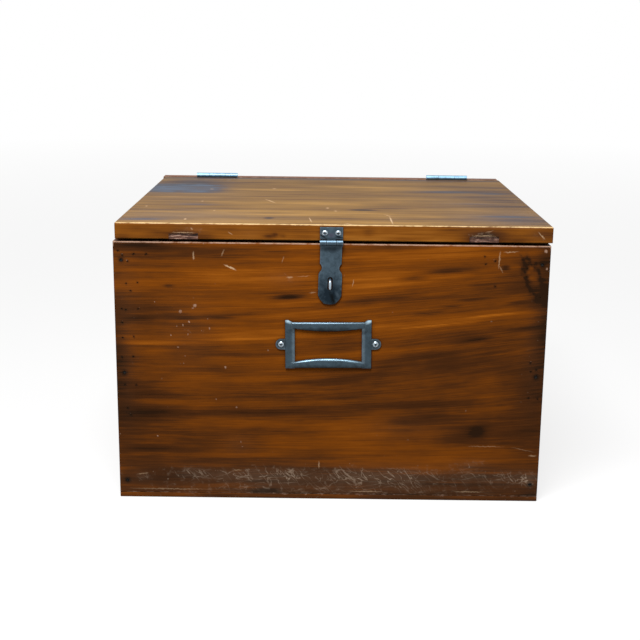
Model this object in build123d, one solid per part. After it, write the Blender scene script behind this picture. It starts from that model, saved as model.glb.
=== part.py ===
from build123d import *
import os
from math import cos, radians, sin, sqrt

# A wooden file box with a hinged lid, a hasp and staple, and a label holder on its front.
# Millimetres. +X is to the right seen from the front, +Y is to the back, +Z is up.
# The origin is the middle of the underside.

# Case and lid boards
body_width = 420.0
body_depth = 382.0
front_height = 261.0
board = 15.6
panel = 5.0
lid_thickness = 15.6
lid_trim = 0.4
lid_shift = 1.7
lid_gap = 2.8
arris = 0.8
lid_arris = 1.2

# Shallow mortises of earlier hinges, left open in the lower front edge of the lid
mortise_length = 28.0
mortise_height = 5.8
mortise_depth = 1.1

# Set nails that hold the front and the back to the side boards
nail_radius = 1.1
nail_head_radius = 1.6
nail_head_height = 1.8
nail_length = 38.0
nail_set = 1.0
nail_tip = 3.0
point_radius = 0.2
corner_nail_count = 3
corner_nail_margin = 18.0

# Panel nails, driven up into the lower edges of the four boards
panel_nail_length = 25.0
panel_nail_set = 0.3
panel_nail_count = 4
panel_nail_margin = 60.0

# Two butt hinges, upright in the seam between the lid and the back board
hinge_length = 50.8
hinge_middle_knuckle = 19.6
hinge_margin = 65.9
hinge_leaf = 1.3
hinge_leaf_gap = 0.4
hinge_leaf_height = 16.4
hinge_barrel_radius = 2.85
hinge_pin_radius = 1.5
hinge_rise = 2.5
hinge_screw_count = 3
hinge_screw_pitch = 17.0
hinge_screw_drop = 9.8

# Countersunk screws of the hinges
flat_screw_radius = 1.3
flat_screw_head = 2.6
flat_screw_length = 12.0

# Pan-head screws of the hasp and the label holder
pan_screw_radius = 1.4
pan_head_radius = 2.9
pan_head_height = 1.9
pan_head_rim = 0.5
pan_screw_length = 12.0
screw_tip = 2.5
recess_width = 0.8
recess_length = 3.4
recess_depth = 1.0

# Hasp: a leaf on the lid, and a slotted strap that swings on it
hasp_x = -0.4
hasp_sheet = 1.25
hasp_barrel_radius = 2.8
hasp_pin_radius = 1.5
hasp_barrel_length = 22.2
hasp_middle_knuckle = 9.2
hasp_leaf_width = 21.9
hasp_leaf_top = 14.6
hasp_screw_spacing = 12.7
hasp_screw_rise = 8.9
hasp_standoff = 0.3
hasp_axis_drop = 1.2
knuckle_root = 3.2
root_overlap = 0.6

# Outline of the strap, measured down from the pin
strap_width = 20.8
strap_lean = 1.2
notch_start = 20.9
notch_length = 8.2
notch_depth = 2.0
lobe_width = 22.6
lobe_start = 31.5
lobe_end = 52.0
lobe_corner_width = 18.6
lobe_corner = 56.0
lobe_tip_width = 11.2
tip_bow = 0.8
strap_length = 60.8
slot_width = 4.8
slot_length = 13.1
slot_middle = 40.35

# Wire staple that stands through the slot
staple_wire_radius = 1.4
staple_height = 10.8
staple_reach = 10.0
staple_bend = 2.6
staple_depth = 13.5
staple_point = 3.0

# Label holder
label_x = -2.15
label_drop = 99.15
label_tilt = 0.6
label_width = 84.1
label_height = 48.3
side_bar = 9.4
side_bar_thickness = 1.9
side_bar_round = 0.8
bar_thickness = 3.0
bar_round = 2.6
bar_crest = 0.3
bar_lap = 3.1
ear_height = 1.9
ear_flat = 3.4
ear_slope = 3.4
top_bar_end = 6.4
top_bar_middle = 9.6
bottom_bar_end = 5.9
bottom_bar_middle = 9.9
tab_radius = 5.3
tab_overhang = 4.05
tab_thickness = 1.2
pocket_depth = 1.0
pocket_margin = 3.0

# Clearances
drive_fit = 0.02
running_fit = 0.05
screw_fit = 0.25
knuckle_gap = 0.3

# Levels and faces that follow from the sizes above
front_y = -body_depth / 2
back_y = body_depth / 2
back_inner = back_y - board
lid_left = lid_shift + lid_trim - body_width / 2
lid_right = lid_shift - lid_trim + body_width / 2
side_top = front_height + lid_gap
lid_top = side_top + lid_thickness
hinge_seam = 2 * hinge_leaf + hinge_leaf_gap
lid_back = back_inner - hinge_seam
hinge_y = back_inner - hinge_seam / 2
hinge_z = lid_top + hinge_rise
hasp_axis_y = front_y - hasp_standoff - hasp_barrel_radius
hasp_axis_z = side_top - hasp_axis_drop
label_z = front_height - label_drop
corner_nail_x = body_width / 2 - board / 2
staple_x = hasp_x - slot_middle * sin(radians(strap_lean))
staple_z = hasp_axis_z - slot_middle * cos(radians(strap_lean))
tab_x = label_width / 2 + tab_overhang

os.makedirs("parts", exist_ok=True)


def block(x0, x1, y0, y1, z0, z1):
    """A square-cut solid between two corners."""
    middle = ((x0 + x1) / 2, (y0 + y1) / 2, (z0 + z1) / 2)
    return Pos(*middle) * Box(x1 - x0, y1 - y0, z1 - z0)


def rod_x(radius, length, x, y, z):
    """A round bar along X about its middle point."""
    return Pos(x, y, z) * Rot(0, 90, 0) * Cylinder(radius, length)


def spread(first, last, count):
    """Evenly spaced places from first to last."""
    return [first + (last - first) * i / (count - 1) for i in range(count)]


def turned(points):
    """A solid of revolution about Z from (radius, height) points."""
    corners = [(radius, 0, height) for radius, height in points]
    return revolve(make_face(Polyline(*corners, close=True)), Axis.Z)


def eased(solid, axis, sign, radius):
    """Rounds the outline of the outermost face on one side of a board."""
    face = solid.faces().sort_by(axis)[-1 if sign > 0 else 0]
    return fillet(face.edges(), radius)


# Fasteners, each drawn with its seat at z = 0 and its tip towards +Z

def nail(length, grow=0.0):
    """A small-headed nail, or the hole for it when it is grown."""
    head = nail_head_radius + grow
    stem = nail_radius + grow
    tip = length - nail_tip
    outline = [(0, 0), (head, 0), (head, nail_head_height), (stem, nail_head_height)]
    return turned(outline + [(stem, tip), (point_radius + grow, length), (0, length)])


def nail_hole(length, sunk):
    """The hole for a nail whose head is sunk below the face."""
    mouth = Pos(0, 0, -sunk) * Cylinder(nail_head_radius + drive_fit, 2 * sunk)
    return nail(length, drive_fit) + mouth


def shank(radius, length, grow=0.0):
    """A plain screw shank with a tapered end."""
    wide = radius + grow
    tip = length - screw_tip
    return turned([(0, 0), (wide, 0), (wide, tip), (point_radius + grow, length), (0, length)])


def cross_recess(z):
    """The cross-shaped driver recess, cut down from the top of a head."""
    bar = Box(recess_length, recess_width, 2 * recess_depth)
    return Pos(0, 0, z) * (bar + Rot(0, 0, 90) * bar)


def pan_screw():
    """A pan-head wood screw."""
    rise = pan_head_height - pan_head_rim
    dome_radius = (pan_head_radius ** 2 + rise ** 2) / (2 * rise)
    seat = (pan_head_radius, 0, 0)
    rim = (pan_head_radius, 0, -pan_head_rim)
    half_way = (pan_head_radius / 2, 0, dome_radius - pan_head_height - sqrt(
        dome_radius ** 2 - pan_head_radius ** 2 / 4))
    crown = (0, 0, -pan_head_height)
    section = make_face([Line((0, 0, 0), seat), Line(seat, rim), ThreePointArc(rim, half_way, crown),
                         Line(crown, (0, 0, 0))])
    head = revolve(section, Axis.Z) - cross_recess(-pan_head_height)
    return head + shank(pan_screw_radius, pan_screw_length)


def flat_screw():
    """A countersunk wood screw, its head as deep as the hinge leaf."""
    cone = turned([(0, 0), (flat_screw_head, 0), (flat_screw_radius, hinge_leaf), (0, hinge_leaf)])
    return cone + shank(flat_screw_radius, flat_screw_length) - cross_recess(0)


def countersink():
    """The hole that a countersunk screw needs in a hinge leaf."""
    wide = flat_screw_head + running_fit
    narrow = flat_screw_radius + running_fit
    return turned([(0, 0), (wide, 0), (narrow, hinge_leaf), (0, hinge_leaf)])


# Where the fasteners go: each is a place with +Z turned into the wood

into_back = Rot(-90, 0, 0)
into_front = Rot(90, 0, 0)

corner_nail_z = spread(corner_nail_margin, front_height - corner_nail_margin, corner_nail_count)
front_nail_places = [Pos(side * corner_nail_x, front_y + nail_set, z) * into_back
                     for side in (-1, 1) for z in corner_nail_z]

back_nail_z = spread(corner_nail_margin, side_top - corner_nail_margin, corner_nail_count)
back_nail_places = [Pos(side * corner_nail_x, back_y - nail_set, z) * into_front
                    for side in (-1, 1) for z in back_nail_z]

panel_reach_x = body_width / 2 - panel_nail_margin
panel_reach_y = body_depth / 2 - panel_nail_margin
panel_nail_x = spread(-panel_reach_x, panel_reach_x, panel_nail_count)
panel_nail_y = spread(-panel_reach_y, panel_reach_y, panel_nail_count)
front_panel_nails = [Pos(x, front_y + board / 2, panel_nail_set) for x in panel_nail_x]
back_panel_nails = [Pos(x, back_y - board / 2, panel_nail_set) for x in panel_nail_x]
left_panel_nails = [Pos(-corner_nail_x, y, panel_nail_set) for y in panel_nail_y]
right_panel_nails = [Pos(corner_nail_x, y, panel_nail_set) for y in panel_nail_y]
panel_nail_places = front_panel_nails + back_panel_nails + left_panel_nails + right_panel_nails

hinge_places = {"left": lid_left + hinge_margin, "right": lid_right - hinge_margin}
hinge_screw_offsets = spread(-hinge_screw_pitch, hinge_screw_pitch, hinge_screw_count)
hinge_screw_z = hinge_z - hinge_screw_drop
hinge_screw_x = [x + step for x in hinge_places.values() for step in hinge_screw_offsets]
case_screw_places = [Pos(x, hinge_y + hinge_leaf_gap / 2, hinge_screw_z) * into_back for x in hinge_screw_x]
lid_screw_places = [Pos(x, hinge_y - hinge_leaf_gap / 2, hinge_screw_z) * into_front for x in hinge_screw_x]

hasp_screw_z = hasp_axis_z + hasp_screw_rise
hasp_screw_x = [hasp_x - hasp_screw_spacing / 2, hasp_x + hasp_screw_spacing / 2]
hasp_screw_places = [Pos(x, front_y - hasp_sheet, hasp_screw_z) * into_back for x in hasp_screw_x]

label_place = Pos(label_x, front_y, label_z) * into_front * Rot(0, 0, label_tilt)
label_screw_places = [label_place * Pos(side * tab_x, 0, tab_thickness) * Rot(180, 0, 0)
                      for side in (-1, 1)]


def drilled(solid, places, tool):
    """Cuts one tool out of a solid at each place."""
    for place in places:
        solid = solid - place * tool
    return solid


def staple_holes():
    """The two holes that the staple's legs are driven into."""
    leg = Cylinder(staple_wire_radius + drive_fit, 2 * staple_depth)
    reach = staple_height / 2 - staple_wire_radius
    return [Pos(staple_x, front_y, staple_z + side * reach) * into_back * leg for side in (-1, 1)]


# Case

def front_board():
    """The front, a single wide board nailed over the ends of the side boards."""
    solid = block(-body_width / 2, body_width / 2, front_y, front_y + board, panel, front_height)
    solid = eased(solid, Axis.Y, -1, arris)
    solid = drilled(solid, front_nail_places, nail_hole(nail_length, nail_set))
    solid = drilled(solid, front_panel_nails, nail(panel_nail_length, drive_fit))
    solid = drilled(solid, label_screw_places, shank(pan_screw_radius, pan_screw_length, drive_fit))
    for hole in staple_holes():
        solid = solid - hole
    return solid


def back_board():
    """The back, which runs up level with the top of the lid and carries the hinges."""
    solid = block(-body_width / 2, body_width / 2, back_inner, back_y, panel, lid_top)
    solid = eased(solid, Axis.Y, 1, arris)
    solid = drilled(solid, back_nail_places, nail_hole(nail_length, nail_set))
    solid = drilled(solid, back_panel_nails, nail(panel_nail_length, drive_fit))
    return drilled(solid, case_screw_places, shank(flat_screw_radius, flat_screw_length, drive_fit))


def side_board(side):
    """A side board, between the front and the back, taller than the front by the gap under the lid."""
    outer = side * body_width / 2
    inner = outer - side * board
    solid = block(min(inner, outer), max(inner, outer), front_y + board, back_inner, panel, side_top)
    top_edge = solid.faces().sort_by(Axis.X)[-1 if side > 0 else 0].edges().sort_by(Axis.Z)[-1]
    solid = fillet(top_edge, arris)
    solid = drilled(solid, front_nail_places + back_nail_places, nail(nail_length, drive_fit))
    places = right_panel_nails if side > 0 else left_panel_nails
    return drilled(solid, places, nail(panel_nail_length, drive_fit))


def bottom_panel():
    """A thin panel nailed on under the four boards."""
    solid = block(-body_width / 2, body_width / 2, front_y, back_y, 0, panel)
    solid = fillet(solid.edges().filter_by(Axis.Z), arris)
    return drilled(solid, panel_nail_places, nail_hole(panel_nail_length, panel_nail_set))


def group(places, piece):
    """Like fasteners, kept together as separate solids."""
    return Compound(children=[place * piece for place in places])


# Lid

def lid_board():
    """The lid, which rests on the side boards and butts against the hinges in front of the back board."""
    solid = block(lid_left, lid_right, front_y, lid_back, side_top, lid_top)
    front = solid.faces().sort_by(Axis.Y)[0].edges()
    ends = solid.faces().sort_by(Axis.Z)[-1].edges().filter_by(Axis.Y)
    solid = fillet(front + ends, lid_arris)
    for x in hinge_places.values():
        x0 = x - mortise_length / 2
        solid = solid - block(x0, x0 + mortise_length, front_y - board, front_y + mortise_depth,
                              side_top - board, side_top + mortise_height)
    solid = drilled(solid, lid_screw_places, shank(flat_screw_radius, flat_screw_length, drive_fit))
    return drilled(solid, hasp_screw_places, shank(pan_screw_radius, pan_screw_length, drive_fit))


# Hinges

def knuckle_spans(x, barrel_length, middle_length, outer):
    """The stretches of a barrel along X that one leaf holds: both ends of it, or its middle."""
    if not outer:
        return [(x - middle_length / 2, x + middle_length / 2)]
    start = middle_length / 2 + knuckle_gap
    end = barrel_length / 2
    return [(x - end, x - start), (x + start, x + end)]


def hinge_leaf_solid(x, side):
    """One leaf: the case leaf is behind the pin with two knuckles, the lid leaf in front with one."""
    near = hinge_y + side * hinge_leaf_gap / 2
    far = near + side * hinge_leaf
    y0 = min(near, far)
    y1 = max(near, far)
    half = hinge_length / 2
    solid = block(x - half, x + half, y0, y1, hinge_z - hinge_leaf_height, hinge_z - knuckle_root)
    for start, end in knuckle_spans(x, hinge_length, hinge_middle_knuckle, side > 0):
        solid = solid + block(start, end, y0, y1, hinge_z - knuckle_root, hinge_z)
        solid = solid + rod_x(hinge_barrel_radius, end - start, (start + end) / 2, hinge_y, hinge_z)
    clearance = drive_fit if side > 0 else running_fit
    solid = solid - rod_x(hinge_pin_radius + clearance, 2 * hinge_length, x, hinge_y, hinge_z)
    places = case_screw_places if side > 0 else lid_screw_places
    return drilled(solid, places, countersink())


def hinge_pin(x):
    """A hinge pin, flush with the ends of its barrel."""
    return rod_x(hinge_pin_radius, hinge_length, x, hinge_y, hinge_z)


# Hasp

def hasp_knuckle(start, end):
    """One rolled knuckle, before its bore."""
    return rod_x(hasp_barrel_radius, end - start, (start + end) / 2, hasp_axis_y, hasp_axis_z)


def hasp_bore(clearance):
    """The hole along the barrel for the pin."""
    return rod_x(hasp_pin_radius + clearance, 2 * hasp_barrel_length, hasp_x, hasp_axis_y, hasp_axis_z)


def hasp_leaf():
    """The leaf on the front edge of the lid, rolled into the middle knuckle."""
    left = hasp_x - hasp_leaf_width / 2
    right = hasp_x + hasp_leaf_width / 2
    top = hasp_axis_z + hasp_leaf_top
    y0 = front_y - hasp_sheet
    solid = block(left, right, y0, front_y, hasp_axis_z + knuckle_root, top)
    for start, end in knuckle_spans(hasp_x, hasp_barrel_length, hasp_middle_knuckle, False):
        solid = solid + block(start, end, y0, front_y, hasp_axis_z, hasp_axis_z + knuckle_root)
        solid = solid + hasp_knuckle(start, end)
    solid = solid - hasp_bore(drive_fit)
    return drilled(solid, hasp_screw_places, Cylinder(pan_screw_radius + screw_fit, 4 * hasp_sheet))


def strap_outline():
    """The strap seen from the front, with its pin at the origin."""
    upper = strap_width / 2
    lobe = lobe_width / 2
    corner = lobe_corner_width / 2
    tip = lobe_tip_width / 2
    notch_end = notch_start + notch_length
    notch_middle = notch_start + notch_length / 2
    tip_rise = strap_length - tip_bow
    edges = [Line((-upper, -knuckle_root), (upper, -knuckle_root))]
    for side in (-1, 1):
        edges += [
            Line((side * upper, -knuckle_root), (side * upper, -notch_start)),
            ThreePointArc((side * upper, -notch_start), (side * (upper - notch_depth), -notch_middle),
                          (side * upper, -notch_end)),
            Line((side * upper, -notch_end), (side * lobe, -lobe_start)),
            Line((side * lobe, -lobe_start), (side * lobe, -lobe_end)),
            Line((side * lobe, -lobe_end), (side * corner, -lobe_corner)),
            Line((side * corner, -lobe_corner), (side * tip, -tip_rise)),
        ]
    edges.append(ThreePointArc((-tip, -tip_rise), (0, -strap_length), (tip, -tip_rise)))
    return make_face(edges)


def hasp_strap():
    """The swinging strap: two rolled knuckles, a notched neck and a slotted lobe."""
    back = hasp_barrel_radius
    leaning = Pos(hasp_x, hasp_axis_y + back, hasp_axis_z) * into_front * Rot(0, 0, -strap_lean)
    slot = Pos(0, -slot_middle) * SlotOverall(slot_length, slot_width, rotation=90)
    solid = leaning * extrude(strap_outline() - slot, hasp_sheet)
    y1 = hasp_axis_y + back
    for start, end in knuckle_spans(hasp_x, hasp_barrel_length, hasp_middle_knuckle, True):
        low = hasp_axis_z - knuckle_root - root_overlap
        solid = solid + block(start, end, y1 - hasp_sheet, y1, low, hasp_axis_z)
        solid = solid + hasp_knuckle(start, end)
    return solid - hasp_bore(running_fit)


def hasp_pin():
    """The hasp's pin, flush with the ends of its barrel."""
    return rod_x(hasp_pin_radius, hasp_barrel_length, hasp_x, hasp_axis_y, hasp_axis_z)


def staple():
    """A bent wire with two pointed legs, driven into the front board."""
    reach = staple_height / 2 - staple_wire_radius
    nose = -(staple_reach - staple_wire_radius)
    tail = staple_depth - staple_point
    path = FilletPolyline((0, tail, reach), (0, nose, reach), (0, nose, -reach), (0, tail, -reach),
                          radius=staple_bend)
    section = Plane(origin=(0, tail, reach), z_dir=(0, -1, 0)) * Circle(staple_wire_radius)
    solid = sweep(section, path=path)
    upright = (Align.CENTER, Align.CENTER, Align.MIN)
    point = Cone(staple_wire_radius, point_radius, staple_point, align=upright)
    for side in (-1, 1):
        solid = solid + Pos(0, tail, side * reach) * into_back * point
    return Pos(staple_x, front_y, staple_z) * solid


# Label holder

def crescent(outer_z, end_z, middle_z, half):
    """A bar with one straight edge and one bowed edge, rounded on its front."""
    edges = [
        Line((-half, outer_z), (half, outer_z)),
        Line((half, outer_z), (half, end_z)),
        ThreePointArc((half, end_z), (0, middle_z), (-half, end_z)),
        Line((-half, end_z), (-half, outer_z)),
    ]
    solid = extrude(make_face(edges), bar_thickness)
    front = solid.faces().sort_by(Axis.Z)[-1]
    narrow = abs(end_z - outer_z)
    return fillet(front.edges(), min(bar_round, (narrow - bar_crest) / 2, bar_thickness - bar_crest))


def side_bar_solid(side):
    """An upright bar with a pointed ear at its top, drawn flat with its back on z = 0."""
    outer = side * label_width / 2
    inner = outer - side * side_bar
    top = label_height / 2
    shelf = top - ear_height
    flat = outer - side * ear_flat
    slope = flat - side * ear_slope
    corners = [(outer, -top), (outer, top), (flat, top), (slope, shelf), (inner, shelf), (inner, -top)]
    solid = extrude(make_face(Polyline(*corners, close=True)), side_bar_thickness)
    front = solid.faces().sort_by(Axis.Z)[-1]
    return fillet(front.edges().filter_by(Axis.Y), side_bar_round)


def label_holder():
    """A pressed steel card frame with two bowed bars and a screw tab at each side."""
    half = label_width / 2
    window = half - side_bar
    top = label_height / 2
    shelf = top - ear_height
    end = window + bar_lap
    solid = side_bar_solid(-1) + side_bar_solid(1)
    solid = solid + crescent(shelf, shelf - top_bar_end, shelf - top_bar_middle, end)
    solid = solid + crescent(-top, bottom_bar_end - top, bottom_bar_middle - top, end)
    for side in (-1, 1):
        tab = Circle(tab_radius) + Pos(-side * tab_radius / 2, 0) * Rectangle(tab_radius, 2 * tab_radius)
        solid = solid + Pos(side * tab_x, 0) * extrude(tab, tab_thickness)
        solid = solid - Pos(side * tab_x, 0) * Cylinder(pan_screw_radius + screw_fit, 4 * tab_thickness)
    pocket_half = window + pocket_margin
    pocket_low = bottom_bar_end - top - pocket_margin
    pocket = block(-pocket_half, pocket_half, pocket_low, 2 * top, -pocket_depth, pocket_depth)
    return label_place * (solid - pocket)


# Every piece by its name

nodes = {
    "front_board": front_board(),
    "back_board": back_board(),
    "left_side_board": side_board(-1),
    "right_side_board": side_board(1),
    "bottom_panel": bottom_panel(),
    "front_nails": group(front_nail_places, nail(nail_length)),
    "back_nails": group(back_nail_places, nail(nail_length)),
    "bottom_nails": group(panel_nail_places, nail(panel_nail_length)),
    "lid_board": lid_board(),
    "hinge_case_screws": group(case_screw_places, flat_screw()),
    "hinge_lid_screws": group(lid_screw_places, flat_screw()),
    "hasp_leaf": hasp_leaf(),
    "hasp_pin": hasp_pin(),
    "hasp_strap": hasp_strap(),
    "hasp_screws": group(hasp_screw_places, pan_screw()),
    "staple": staple(),
    "label_holder": label_holder(),
    "label_screws": group(label_screw_places, pan_screw()),
}
for name, x in hinge_places.items():
    nodes[name + "_hinge_case_leaf"] = hinge_leaf_solid(x, 1)
    nodes[name + "_hinge_lid_leaf"] = hinge_leaf_solid(x, -1)
    nodes[name + "_hinge_pin"] = hinge_pin(x)

for name, solid in nodes.items():
    export_step(solid, "parts/" + name + ".step")
    print(name)
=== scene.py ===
import math
import random

import bmesh
import bpy
from mathutils import Matrix, Vector, noise


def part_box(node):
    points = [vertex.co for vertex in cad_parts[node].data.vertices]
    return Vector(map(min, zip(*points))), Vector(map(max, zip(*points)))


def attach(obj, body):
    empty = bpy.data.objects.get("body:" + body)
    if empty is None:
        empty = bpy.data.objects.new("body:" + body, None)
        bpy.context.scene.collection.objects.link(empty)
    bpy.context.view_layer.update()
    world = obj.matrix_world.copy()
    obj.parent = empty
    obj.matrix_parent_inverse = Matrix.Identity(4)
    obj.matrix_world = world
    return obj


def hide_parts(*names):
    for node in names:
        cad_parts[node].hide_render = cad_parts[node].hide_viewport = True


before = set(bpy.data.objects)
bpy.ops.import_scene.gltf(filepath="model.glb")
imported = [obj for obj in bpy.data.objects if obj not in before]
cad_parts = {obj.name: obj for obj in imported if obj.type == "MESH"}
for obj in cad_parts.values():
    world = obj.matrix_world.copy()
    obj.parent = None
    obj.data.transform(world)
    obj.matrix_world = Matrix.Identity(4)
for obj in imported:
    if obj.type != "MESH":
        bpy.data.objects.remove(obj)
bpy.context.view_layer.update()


# The camera stands where the photograph was taken: a step in front of the box, a touch left of its
# middle and above its lid, looking down at it.
camera_place = Vector((-0.0084, -1.2964, 0.4574))
camera_yaw = math.radians(-0.11)
camera_pitch = math.radians(13.80)
camera_roll = math.radians(0.64)
camera_lens = 65.9

forward = Vector((math.sin(camera_yaw) * math.cos(camera_pitch), math.cos(camera_yaw) * math.cos(camera_pitch),
                  -math.sin(camera_pitch)))
side = Vector((math.cos(camera_yaw), -math.sin(camera_yaw), 0))
upright = Matrix((side, side.cross(forward), -forward)).transposed().to_4x4()
camera = bpy.data.objects.new("camera", bpy.data.cameras.new("camera"))
bpy.context.scene.collection.objects.link(camera)
camera.data.lens = camera_lens
camera.matrix_world = Matrix.Translation(camera_place) @ upright @ Matrix.Rotation(camera_roll, 4, "Z")
bpy.context.scene.camera = camera
bpy.context.scene.view_settings.view_transform = "Standard"


# Front board: one wide pine board, planed, stained brown, varnished and worn dull. It is nailed over the ends of
# the side boards with the nails set below the surface, and old staple holes pepper both of its ends.

def linear(code):
    """An sRGB hex colour as linear red, green, blue and alpha."""
    parts = [int(code[i:i + 2], 16) / 255 for i in (1, 3, 5)]
    return [p / 12.92 if p <= 0.04045 else ((p + 0.055) / 1.055) ** 2.4 for p in parts] + [1.0]


def add(tree, kind, inputs, **settings):
    """Adds a shader node with its settings; an input takes a value, a socket or a node's first output."""
    node = tree.nodes.new("ShaderNode" + kind)
    for name, value in settings.items():
        setattr(node, name, value)
    for key, value in inputs.items():
        if isinstance(value, bpy.types.Node):
            value = next(socket for socket in value.outputs if socket.enabled)
        if isinstance(value, bpy.types.NodeSocket):
            tree.links.new(value, node.inputs[key])
        else:
            node.inputs[key].default_value = value
    return node


def pick(piece, kind, test):
    """Opens a piece for editing, with only those of its vertices, edges or faces selected that pass a test."""
    bpy.ops.object.select_all(action="DESELECT")
    piece.select_set(True)
    bpy.context.view_layer.objects.active = piece
    bpy.ops.object.mode_set(mode="EDIT")
    bpy.ops.mesh.select_mode(type=kind)
    bpy.ops.mesh.select_all(action="DESELECT")
    mesh = bmesh.from_edit_mesh(piece.data)
    for item in {"VERT": mesh.verts, "EDGE": mesh.edges, "FACE": mesh.faces}[kind]:
        if test(item):
            item.select_set(True)
    mesh.select_flush_mode()
    bmesh.update_edit_mesh(piece.data)


def done():
    """Closes the piece again."""
    bpy.ops.object.mode_set(mode="OBJECT")


def saw_board(name, low, high, steps, hidden):
    """Saws a square board between two corners, with its show faces cut into cells of about the given steps and
    its hidden face, named by its normal, left whole."""
    bpy.ops.object.select_all(action="DESELECT")
    bpy.ops.mesh.primitive_cube_add(size=1, location=(low + high) / 2, scale=high - low)
    board = bpy.context.object
    board.name = name
    bpy.ops.object.transform_apply(location=True, rotation=True, scale=True)
    for axis in range(3):
        # the operator makes at most a hundred cuts at once, so long sides are cut twice
        pieces = max(1, (high - low)[axis] / steps[axis])
        first = math.ceil(pieces / 100)
        for share in (first, round(pieces / first)):
            if share > 1:
                pick(board, "EDGE", lambda e: abs((e.verts[0].co - e.verts[1].co).normalized()[axis]) > 0.99)
                bpy.ops.mesh.subdivide(number_cuts=share - 1)
                done()
    if hidden:
        pick(board, "FACE", lambda f: f.normal.dot(Vector(hidden)) > 0.9)
        bpy.ops.mesh.dissolve_faces()
        done()
    return board


def ease_edges(board, radius, test):
    """Planes a small round on the sharp edges of a board whose middle passes a test, and insets every large face,
    so that the wear of the arris keeps to the arris."""
    large_face, margin = 0.001, 0.0015
    pick(board, "EDGE", lambda e: e.calc_face_angle(0) > 1 and test((e.verts[0].co + e.verts[1].co) / 2))
    bpy.ops.mesh.bevel(offset=radius, segments=3, affect="EDGES", clamp_overlap=False)
    done()
    pick(board, "FACE", lambda f: f.calc_area() > large_face)
    bpy.ops.mesh.inset(thickness=margin, use_individual=True)
    done()


def cut_away(board, tool):
    """Cuts a tool's shape out of a board and throws the tool away."""
    cut = board.modifiers.new("cut", "BOOLEAN")
    cut.operation = "DIFFERENCE"
    cut.object = tool
    cut.solver = "EXACT"
    bpy.ops.object.select_all(action="DESELECT")
    bpy.context.view_layer.objects.active = board
    bpy.ops.object.modifier_apply(modifier="cut")
    bpy.data.objects.remove(tool)


def bore(board, places, direction, radius, tip, depth):
    """Bores holes of one size into a board: straight ones, or tapered ones where the tip is narrower."""
    bpy.ops.object.select_all(action="DESELECT")
    drills = []
    for place in places:
        bpy.ops.mesh.primitive_cone_add(vertices=10, radius1=tip, radius2=radius, depth=2 * depth, location=place,
                                        rotation=Vector(direction).to_track_quat("Z", "Y").to_euler())
        drills.append(bpy.context.object)
    for drill in drills:
        drill.select_set(True)
    bpy.context.view_layer.objects.active = drills[0]
    bpy.ops.object.join()
    cut_away(board, drills[0])


def on_arris(place, low, high):
    """Whether a point, in millimetres, is on an edge of a board between two corners in metres."""
    reach = 1.25
    inside = sorted(min(place[i] - low[i] * 1000, high[i] * 1000 - place[i]) for i in range(3))
    return inside[1] < reach


def lay_grain(board, fibre, marks):
    """Writes three things at each point of a board: where it lies along and across the fibres, in millimetres;
    its marks, which are dark figure, rubbed wood and scuffs; and its grey haze, which is painted sheen."""
    mesh = board.data
    for name, kind in (("grain", "FLOAT_VECTOR"), ("marks", "FLOAT_VECTOR"), ("sheen", "FLOAT")):
        mesh.attributes.new(name, kind, "POINT")
    grain, worn, sheen = (mesh.attributes[name] for name in ("grain", "marks", "sheen"))
    for i, vertex in enumerate(mesh.vertices):
        place = vertex.co * 1000
        grain.data[i].vector = fibre(place)
        figure, rub, scuff, sheen_level = marks(place)
        worn.data[i].vector = (figure, rub, scuff)
        sheen.data[i].value = sheen_level


def spots(along, across, places):
    """Adds up soft spots given as (along, across, half length, half width, strength)."""
    total = 0.0
    for u, v, length, width, strength in places:
        if abs(across - v) < 3 * width and abs(along - u) < 3 * length:
            total += strength * math.exp(-((along - u) / length) ** 2 - ((across - v) / width) ** 2)
    return total


# The wood's figure is four noises: bands 13 mm wide, streaks 2.4 mm, fibres 0.9 mm and clouds 29 mm. Each has its
# scale along, across and through the fibres per mm, its detail, roughness and distortion, and its share of the tone
wood_noises = [((0.0045, 0.075, 0.02), 3.0, 0.5, 0.5, 0.8), ((0.011, 0.42, 0.1), 2.0, 0.55, 0.3, 0.5),
               ((0.025, 1.1, 0.4), 2.0, 0.6, 0.0, 0.4), ((0.012, 0.035, 0.03), 4.0, 0.6, 0.0, 0.6)]
tone_shift = -0.55
# Scratches run in two directions, each given by its turn in degrees and a shift that keeps the two apart, and are
# drawn out along one axis of the face that they are on
scratch_turns = [(8, 0), (-48, 31)]
scratch_scales = {"x": (0.19, 0.045, 0.19), "y": (0.045, 0.19, 0.19), "z": (0.045, 0.19, 0.19)}
# Specks, as spacing, radius, share left out, strength, and whether they lie anywhere or on scuffs only
speck_kinds = [(20, 0.8, 0.55, 0.8, "anywhere"), (7, 0.55, 0.45, 0.9, "on scuffs")]
# How deep behind a face its nicks and its other marks go, in millimetres
nick_depth = 3
mark_depth = 2
# The grey-blue of a painted sheen on the varnish, laid over dark streaks and the lid's stain
sheen_tone = "#4e5a6c"
dust_tone = "#a8937e"
# Painted shade, darkest in the gaps and corners of the wood
gap_shade_tone = "#1a0f08"
nick_tone = "#c6a682"
varnish_tint = "#d8853a"


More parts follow.
